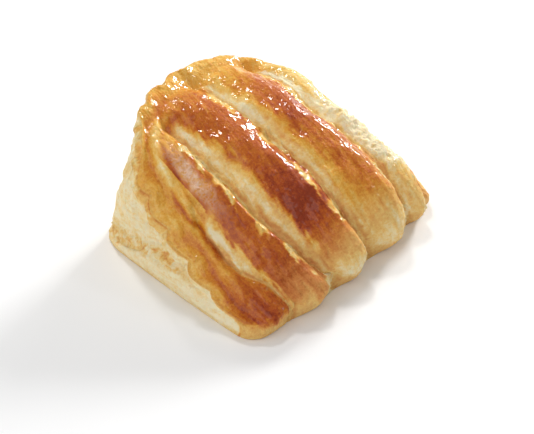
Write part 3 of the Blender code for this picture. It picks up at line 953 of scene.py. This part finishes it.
def wall_levels(rim, left_corner, right_corner):
    """The walls' plain grid: columns round the rim, one row for each named level."""
    foot = foot_line(rim, left_corner, right_corner)
    tangent = np.gradient(foot, axis=0)
    out = np.stack([-tangent[:, 1], tangent[:, 0]], axis=1)
    out = rounded(out / np.linalg.norm(out, axis=1, keepdims=True), WALL_TURN_ROUNDING)
    height = rim[:, 2]
    room = np.minimum(1.0, height / (LIP_DOWN[-1] + LEAF_UP[0]))
    run = run_length(rim)
    started = ease(0.0, LAYERS_START, np.minimum(run, run[-1] - run))
    at_corner = bump(run[left_corner], LEDGE_DIP_WIDTH, run)
    layered = ease(*LAYERED_FROM, height) * (1.0 - CORNER_FILLS * at_corner)
    ledge = 1.0 + LEAF_UNEVEN * uneven(rim[:, 0], rim[:, 1], LEAF_WAVE)
    ledge *= 1.0 - LEDGE_DIP * at_corner

    lip = [height - down * room for down in LIP_DOWN]
    leaf = [up * room * ledge for up in LEAF_UP]
    shares = [(k + 1) / (len(POCKET_OUT) + 1) for k in range(len(POCKET_OUT))]
    pocket = [lip[-1] + (leaf[0] - lip[-1]) * share for share in shares]
    rows = []
    for z, step in zip(lip + pocket + leaf, LIP_OUT + POCKET_OUT + LEAF_OUT):
        share = (z / np.maximum(height, 1e-6)) ** WALL_BELLY
        swell = WALL_SWELL * uneven(rim[:, 0] + z, rim[:, 1] + z, WALL_WAVE) * share * (1.0 - share)
        offset = step * (room if step > 0.0 else layered) + 2.0 * room * swell
        plan = foot + (rim[:, :2] - foot) * share[:, None] + out * (started * offset)[:, None]
        rows.append(np.concatenate([plan, z[:, None]], axis=1))
    return np.stack(rows, axis=1)


class Walls:
    """The walls' smooth grid with the measures that its relief and its baking follow."""

    def __init__(self, rim, left_corner, right_corner):
        columns = [evenly(column, WALL_SAMPLES) for column in wall_levels(rim, left_corner, right_corner)]
        self.grid = np.stack([evenly(rounded(column, WALL_ROUNDING), WALL_ROWS) for column in columns])
        self.grid[:, 0] = rim
        self.grid[:, -1, 2] = 0.0
        self.rim = rim
        self.run = np.broadcast_to(run_length(rim)[:, None], self.grid.shape[:2])
        self.corner = self.run[left_corner]
        self.z = self.grid[:, :, 2]
        self.height = rim[:, 2:3]
        self.down = self.height - self.z
        self.flow = flow_points(self.z, self.run)
        self.tall = ease(*TALL_WALL, self.height)
        ledge = LEAF_UP[1] * np.minimum(1.0, self.height / (LIP_DOWN[-1] + LEAF_UP[0]))
        self.ledge = ledge * (1.0 - LEDGE_DIP * bump(self.corner, LEDGE_DIP_WIDTH, self.run))
        self.above_ledge = bump(self.ledge + CRUMBS_UP, CRUMBS_REACH, self.z) * self.tall


def wall_relief(walls):
    """The walls' grid with pleats, layers, lumps and crumbs, and the lower leaf's ledge."""
    pleats = np.abs(pattern(flow_points(PLEAT_STRETCH * walls.down, walls.run), "pleats"))
    flutes = (FLUTE_RISE - FLUTE_DEPTH * pleats) * bump(*FLUTES_PLACE, walls.down)
    flutes = flutes * ease(*LEDGE_BLEND, walls.z - walls.ledge)
    ledge = walls.ledge + pattern(walls.flow, "ledge wander")
    roll = LEDGE_ROLL * bump(ledge, LEDGE_ROLL_WIDTH, walls.z) * walls.tall
    undercut = UNDERCUT * bump(*UNDERCUT_PLACE, walls.down) * walls.tall
    layers = pattern(walls.flow, "wall layers") * towards(LOW_WALL_LAYERS, 1.0, walls.tall)
    lumps = pattern(walls.grid, "wall lumps") * towards(LOW_WALL_LUMPS, 1.0, walls.tall)
    crumbs = pattern(walls.grid, "wall crumbs") * walls.above_ledge
    ends = np.minimum(walls.run, walls.run[-1:] - walls.run)
    room = ease(*RIM_STAYS, walls.down) * ease(*GROUND_STAYS, walls.z) * ease(*ENDS_STAY, ends)
    offset = ((flutes + roll - undercut) * walls.tall + layers + crumbs + lumps) * room
    moved = walls.grid + grid_normals(walls.grid) * offset[:, :, None]
    moved[:, :, 2] = np.clip(moved[:, :, 2], 0.0, np.maximum(walls.height, 0.0))
    moved[:, 0] = walls.rim
    moved[:, -1, 2] = 0.0
    return moved


def rolled_edge(walls):
    """1 just under the rim, where the glazed skin rolls over the edge."""
    width = ROLLED_EDGE * (1.0 + pattern(walls.grid, "rolled edge wander"))
    return plateau(width, walls.down) * ease(*ROLLED_FROM, walls.height)


def wall_bake(walls, rolled):
    """How far each point of the walls is baked; the line over the lower leaf's ledge is partly painted
    shade.
    """
    bake = WALL_BAKE + pattern(walls.grid, "wall mottle") + pattern(walls.flow, "wall streaks")
    bake += RIM_LINE_BAKE * plateau(RIM_LINE, walls.down)
    bake += ROLLED_BAKE * rolled * ease(*ROLLED_THERE, pattern(walls.grid, "rolled edge gaps"))
    # Partly crumb colour, partly painted shade: a darker line just above the ledge.
    line = walls.ledge + LEDGE_LINE_UP + pattern(walls.flow, "ledge line wander")
    line = bump(line, LEDGE_LINE_WIDTH, walls.z) * walls.tall
    bake += LEDGE_CRUMB_AND_SHADE_BAKE * line * ease(*LEDGE_LINE_THERE, pattern(walls.grid, "ledge line gaps"))
    bake += GROUND_LINE_BAKE * bump(0.0, GROUND_LINE, walls.z)
    crumbs = ease(*CRUMB_BAKE_FROM, pattern(walls.grid, "brown crumbs"))
    bake += CRUMB_BAKE * crumbs * walls.above_ledge
    corner = bump(walls.corner, CORNER_BAKE_WIDTH, walls.run) * ease(*CORNER_BAKE_FROM, walls.z)
    patches = ease(*CORNER_BAKE_THERE, pattern(walls.grid, "corner patches"))
    return bake + CORNER_BAKE * corner * patches


def add_attribute(mesh, name, values):
    """Keep one number for each vertex on the mesh."""
    made = mesh.attributes.new(name, "FLOAT", "POINT")
    made.data.foreach_set("value", np.asarray(values, np.float32).ravel())


def grid_faces(columns, rows, first):
    """Quads of a grid whose vertices are numbered column by column."""
    index = first + np.arange(columns * rows).reshape(columns, rows)
    quads = np.stack([index[:-1, :-1], index[:-1, 1:], index[1:, 1:], index[1:, :-1]], axis=2)
    return quads.reshape(-1, 4)


def round_the_rim(grid):
    """A grid's values along its left side, its back and its right side."""
    return np.concatenate([grid[0, ::-1], grid[1:, 0], grid[-1, 1:]])


def both(on_leaf, on_walls):
    """Values of the top leaf's points followed by those of the walls' points."""
    return np.concatenate([on_leaf.ravel(), on_walls.ravel()])


def on_frame(points):
    """The points in metres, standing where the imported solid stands."""
    low, high = (np.asarray(corner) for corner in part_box("turnover"))
    middle = 0.5 * (points.min(axis=0) + points.max(axis=0))
    points = (points - (middle[0], middle[1], 0.0)) * MM
    return points + (0.5 * (low[0] + high[0]), 0.5 * (low[1] + high[1]), low[2])


def close_skin(data):
    """Join the walls to the leaf, close the underside and turn all faces outwards."""
    mesh = bmesh.new()
    mesh.from_mesh(data)
    bmesh.ops.remove_doubles(mesh, verts=mesh.verts[:], dist=MERGED_WITHIN * MM)
    bmesh.ops.holes_fill(mesh, edges=[edge for edge in mesh.edges if edge.is_boundary], sides=0)
    bmesh.ops.recalc_face_normals(mesh, faces=mesh.faces[:])
    bmesh.ops.triangulate(mesh, faces=[face for face in mesh.faces if len(face.verts) > 4])
    mesh.to_mesh(data)
    mesh.free()
    data.shade_smooth()


def pastry_mesh():
    """The closed skin: top leaf, walls and underside, with its baking kept on its vertices."""
    leaf = Leaf()
    top, top_bake, top_skin = top_leaf(leaf)
    left_corner = top.shape[1] - 1
    right_corner = left_corner + len(top) - 1
    walls = Walls(round_the_rim(top), left_corner, right_corner)
    sides = wall_relief(walls)
    rolled = rolled_edge(walls)
    side_bake = wall_bake(walls, rolled)
    side_bake[:, 0] = round_the_rim(top_bake)
    side_skin = WALL_SKIN * np.maximum(plateau(WALL_SKIN_EDGE, walls.down), rolled)

    points = on_frame(np.concatenate([top.reshape(-1, 3), sides.reshape(-1, 3)]))
    quads = (grid_faces(*top.shape[:2], 0), grid_faces(*sides.shape[:2], top_bake.size))
    data = bpy.data.meshes.new("pastry")
    data.from_pydata(points.tolist(), [], np.concatenate(quads).tolist())
    add_attribute(data, "bake", both(top_bake, side_bake))
    add_attribute(data, "skin", both(top_skin, side_skin))
    # Where the pale pinkish sheen is painted on the second strip.
    add_attribute(data, "painted_sheen", both(painted_sheen_patch(leaf), np.zeros_like(side_bake)))
    add_attribute(data, "across", both(leaf.left, sides[:, :, 2]))
    add_attribute(data, "along", both(leaf.back, walls.run))
    close_skin(data)
    return data


def srgb(red, green, blue):
    """A colour given as seen, 0 to 255, as the linear numbers that shaders use."""
    parts = (np.array((red, green, blue)) / 255.0 + 0.055) / 1.055
    return (*(parts**2.4), 1.0)


class Nodes:
    """Short names for making and joining shader nodes."""

    def __init__(self, name):
        self.material = bpy.data.materials.new(name)
        self.material.use_nodes = True
        self.tree = self.material.node_tree
        self.shader = self.tree.nodes["Principled BSDF"]

    def add(self, kind, inputs=None, **settings):
        """A new node with its settings made and its sockets filled or linked."""
        node = self.tree.nodes.new(kind)
        for key, value in settings.items():
            setattr(node, key, value)
        for key, value in (inputs or {}).items():
            self.put(node.inputs[key], value)
        return node

    def put(self, socket, value):
        """Link a socket to another one, or give it a constant."""
        if isinstance(value, bpy.types.NodeSocket):
            self.tree.links.new(value, socket)
        else:
            socket.default_value = value

    def shade(self, inputs):
        """Fill sockets of the shader itself."""
        for key, value in inputs.items():
            self.put(self.shader.inputs[key], value)

    def maths(self, operation, *values):
        """The result of a sum or product."""
        node = self.add("ShaderNodeMath", operation=operation)
        for socket, value in zip(node.inputs, values):
            self.put(socket, value)
        return node.outputs[0]

    def attribute(self, name):
        """A number kept on the mesh."""
        return self.add("ShaderNodeAttribute", attribute_name=name).outputs["Fac"]

    def noise(self, vector, scale, detail):
        """Noise in space, about 0.3 to 0.7."""
        inputs = {"Vector": vector, "Scale": scale, "Detail": detail, "Roughness": NOISE_ROUGHNESS}
        return self.add("ShaderNodeTexNoise", inputs).outputs["Fac"]

    def ramp(self, value, colours):
        """The colour of a level on a table of colours."""
        node = self.add("ShaderNodeValToRGB", {"Fac": value})
        stops = node.color_ramp.elements
        while len(stops) < len(colours):
            stops.new(0.5)
        for stop, (position, colour) in zip(stops, colours):
            stop.position = position
            stop.color = srgb(*colour)
        return node.outputs["Color"]

    def remap(self, value, low, high, to_low, to_high):
        """A value moved from one range to another."""
        inputs = {"Value": value, "From Min": low, "From Max": high, "To Min": to_low, "To Max": to_high}
        return self.add("ShaderNodeMapRange", inputs).outputs["Result"]

    def mix(self, share, first, second):
        """A colour between two colours."""
        node = self.add("ShaderNodeMix", {"Factor": share}, data_type="RGBA")
        self.put(node.inputs["A"], first)
        self.put(node.inputs["B"], second)
        return node.outputs["Result"]


def crust_material():
    """Baked puff pastry: egg-washed brown skin and bare pale dough, from the kept baking."""
    n = Nodes("crust")
    place = n.add("ShaderNodeTexCoord").outputs["Object"]
    skin = n.attribute("skin")
    flow = n.add("ShaderNodeCombineXYZ", {"X": n.attribute("across"), "Y": n.attribute("along")})
    stretch = n.add("ShaderNodeVectorMath", {1: STREAK_STRETCH}, operation="MULTIPLY")
    n.put(stretch.inputs[0], flow.outputs[0])

    level = n.attribute("bake")
    relief = 0.0
    noises = []
    for kind in (STREAK, GRAIN, FLECK, SPECK):
        scale, detail, toning, raising = kind
        noises.append(n.noise(stretch.outputs[0] if kind is STREAK else place, scale, detail))
        level = n.maths("ADD", level, n.remap(noises[-1], *NOISE_RANGE, -toning, toning))
        relief = n.maths("ADD", relief, n.maths("MULTIPLY", noises[-1], raising))
    grain, fleck = noises[1:3]

    colour = n.mix(skin, n.ramp(level, BARE_COLOURS), n.ramp(level, GLAZED_COLOURS))
    # Painted sheen: pale pinkish speckles over the patch on the second strip.
    sheen_speckles = n.remap(n.maths("ADD", fleck, grain), *PAINTED_SHEEN_SPECKLES)
    sheen_speckles = n.maths("MULTIPLY", n.attribute("painted_sheen"), sheen_speckles)
    roughness = n.remap(skin, 0.0, 1.0, BARE_ROUGHNESS, SKIN_ROUGHNESS)
    bumps = {"Strength": RELIEF_STRENGTH, "Distance": RELIEF_DISTANCE, "Height": relief}
    n.shade({
        "Base Color": n.mix(sheen_speckles, colour, srgb(*PAINTED_SHEEN_COLOUR)),
        "Roughness": n.maths("ADD", roughness, n.remap(grain, *NOISE_RANGE, *GRAIN_ROUGHNESS)),
        "Coat Weight": n.remap(skin, *SKIN_COAT),
        "Normal": n.add("ShaderNodeBump", bumps).outputs["Normal"],
        **CRUST_SETTINGS,
    })
    return n.material


def make_pastry():
    """The pastry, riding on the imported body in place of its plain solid."""
    pastry = bpy.data.objects.new("pastry", pastry_mesh())
    pastry.data.materials.append(crust_material())
    bpy.context.scene.collection.objects.link(pastry)
    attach(pastry, "root")
    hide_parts("turnover")


def floor_material():
    """Plain pale floor with the faintest clouding."""
    n = Nodes("floor")
    place = n.add("ShaderNodeTexCoord").outputs["Object"]
    tint = n.remap(n.noise(place, *FLOOR_CLOUDS), *NOISE_RANGE, *FLOOR_TINTS)
    colour = n.add("ShaderNodeCombineColor", {"Red": tint, "Green": tint, "Blue": tint})
    n.shade({"Base Color": colour.outputs[0], **FLOOR_SETTINGS})
    return n.material


def make_floor():
    """A wide flat floor just under the pastry."""
    reach = FLOOR_REACH
    level = -FLOOR_DROP * MM
    corners = [(-reach, -reach, level), (reach, -reach, level), (reach, reach, level)]
    corners.append((-reach, reach, level))
    data = bpy.data.meshes.new("floor")
    data.from_pydata(corners, [], [(0, 1, 2, 3)])
    data.materials.append(floor_material())
    floor = bpy.data.objects.new("floor", data)
    bpy.context.scene.collection.objects.link(floor)


def direction(azimuth, elevation):
    """Unit vector from the pastry towards a place seen at that azimuth and elevation."""
    a, e = math.radians(azimuth), math.radians(elevation)
    return Vector((math.sin(a) * math.cos(e), -math.cos(a) * math.cos(e), math.sin(e)))


def soft_light(name, azimuth, elevation, distance, width, height, power):
    """A flat soft light that faces the pastry. Azimuth is where the light stands."""
    light = bpy.data.lights.new(name, "AREA")
    light.shape = "RECTANGLE"
    light.size = width
    light.size_y = height
    light.energy = power
    lamp = bpy.data.objects.new(name, light)
    lamp.location = direction(azimuth, elevation) * distance
    lamp.rotation_euler = direction(azimuth, elevation).to_track_quat("Z", "Y").to_euler()
    bpy.context.scene.collection.objects.link(lamp)


def make_lights():
    """Pale surroundings and the soft lights."""
    world = bpy.data.worlds.new("studio")
    world.use_nodes = True
    background = world.node_tree.nodes["Background"]
    background.inputs["Color"].default_value = (1.0, 1.0, 1.0, 1.0)
    background.inputs["Strength"].default_value = SURROUNDINGS
    bpy.context.scene.world = world
    for name, light in LIGHTS.items():
        soft_light(name, *light)


def make_camera():
    """The camera, looking down at the pastry's left front corner."""
    back = direction(CAMERA_AZIMUTH, CAMERA_ELEVATION)
    camera = bpy.data.objects.new("camera", bpy.data.cameras.new("camera"))
    camera.data.lens = CAMERA_LENS
    camera.data.sensor_width = CAMERA_SENSOR
    camera.data.clip_start = CAMERA_NEAR
    camera.location = Vector(CAMERA_AIM) * MM + back * CAMERA_DISTANCE
    camera.rotation_euler = back.to_track_quat("Z", "Y").to_euler()
    bpy.context.scene.collection.objects.link(camera)
    bpy.context.scene.camera = camera
    bpy.context.scene.view_settings.view_transform = "Standard"


make_pastry()
make_floor()
make_lights()
make_camera()
